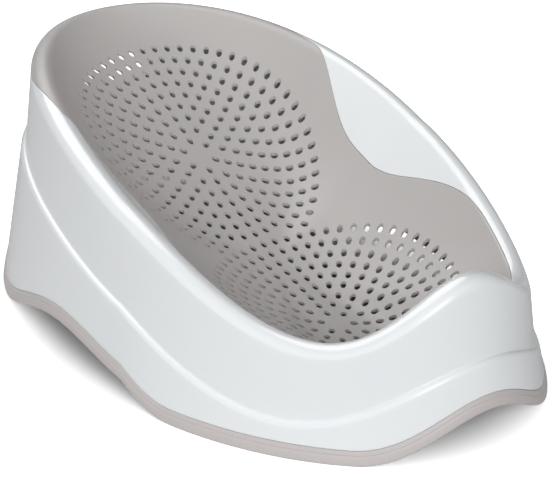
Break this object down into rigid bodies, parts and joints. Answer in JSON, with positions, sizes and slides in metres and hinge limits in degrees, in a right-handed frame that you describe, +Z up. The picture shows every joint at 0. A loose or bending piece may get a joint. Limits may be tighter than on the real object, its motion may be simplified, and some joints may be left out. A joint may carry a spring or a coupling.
{
  "type": "baby bath seat",
  "caption": "Reclining bucket-shaped bath seat: a rigid shell with a rolled rim, a soft perforated seat and back, and a soft edging round its arched foot.",
  "frame": {"origin": "middle of the outline's box, on the floor under the feet", "axes": "+Y from the front (legs) to the back (head), +X to the right of a viewer who faces the front, +Z up"},
  "size_m": [0.3634, 0.5498, 0.2078],
  "materials": {
    "shell": "glossy white moulded plastic, smooth",
    "soft_seat": "soft matte warm grey elastomer, perforated with radial rings of oval drain holes",
    "base_edging": "soft matte warm grey elastomer, non-slip"
  },
  "bodies": {
    "root": {"shell": "shell", "soft_seat": "soft_seat", "base_edging": "base_edging"}
  },
  "joints": []
}
